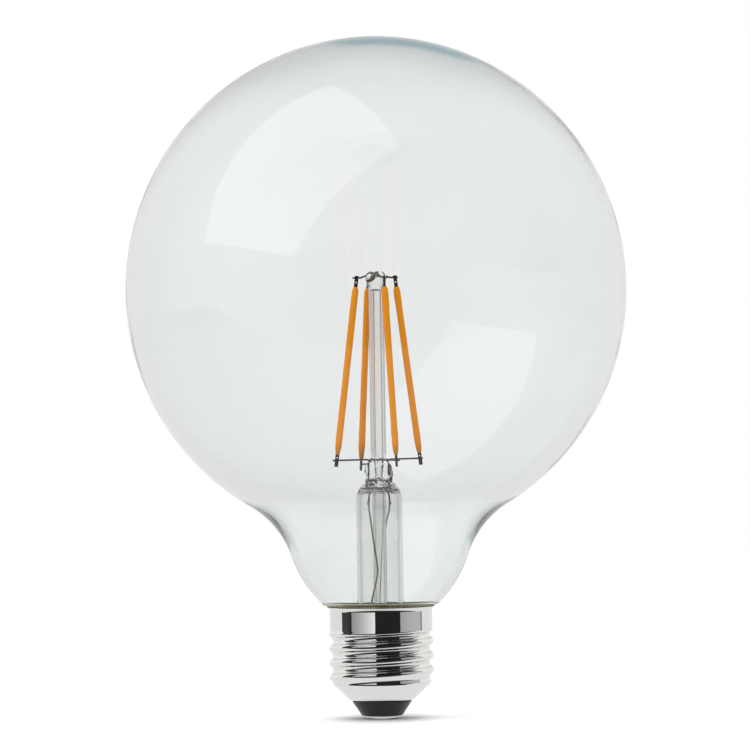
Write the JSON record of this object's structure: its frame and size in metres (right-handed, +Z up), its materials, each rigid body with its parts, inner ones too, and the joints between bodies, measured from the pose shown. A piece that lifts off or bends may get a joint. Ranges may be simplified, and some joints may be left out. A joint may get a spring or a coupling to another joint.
{
  "type": "globe bulb",
  "caption": "Clear glass globe bulb with long yellow LED filaments on a glass stem and a nickel-plated E27 screw cap",
  "frame": {"origin": "The middle of the centre contact's flat, at the bottom of the cap", "axes": "+Z up along the bulb's axis to the globe's crown, -Y the front seen in the picture, X to its right"},
  "size_m": [0.125, 0.125, 0.1704],
  "materials": {
    "globe_glass": "clear",
    "stem_glass": "clear",
    "phosphor_coat": "satin",
    "tab_steel": "satin",
    "lead_steel": "satin",
    "seal_copper": "satin",
    "tail_metal": "satin",
    "cement": "matte",
    "nickel_plate": "polished",
    "black_insulator": "gloss",
    "contact_metal": "satin",
    "circuit_board": "gloss",
    "component_black": "matte",
    "capacitor_sleeve": "gloss",
    "resistor_body": "matte"
  },
  "bodies": {
    "root": {"glass_globe": "globe_glass", "glass_stem": "stem_glass", "filament_1": "phosphor_coat", "filament_2": "phosphor_coat", "filament_3": "phosphor_coat", "filament_4": "phosphor_coat", "filament_1_lower_tab": "tab_steel", "filament_1_upper_tab": "tab_steel", "filament_2_lower_tab": "tab_steel", "filament_2_upper_tab": "tab_steel", "filament_3_lower_tab": "tab_steel", "filament_3_upper_tab": "tab_steel", "filament_4_lower_tab": "tab_steel", "filament_4_upper_tab": "tab_steel", "upper_support_wire": "lead_steel", "upper_cross_wire": "lead_steel", "left_lead_wire": "lead_steel", "right_lead_wire": "lead_steel", "left_branch_wire": "lead_steel", "right_branch_wire": "lead_steel", "left_seal_wire": "seal_copper", "right_seal_wire": "seal_copper", "left_tail_wire": "tail_metal", "right_tail_wire": "tail_metal", "base_cement": "cement", "cap_shell": "nickel_plate", "cap_insulator": "black_insulator", "centre_contact": "contact_metal", "driver_board": "circuit_board", "bridge_rectifier": "component_black", "driver_chip": "component_black", "smoothing_capacitor": "capacitor_sleeve", "fuse_resistor": "resistor_body", "shell_wire": "tail_metal"}
  },
  "joints": []
}
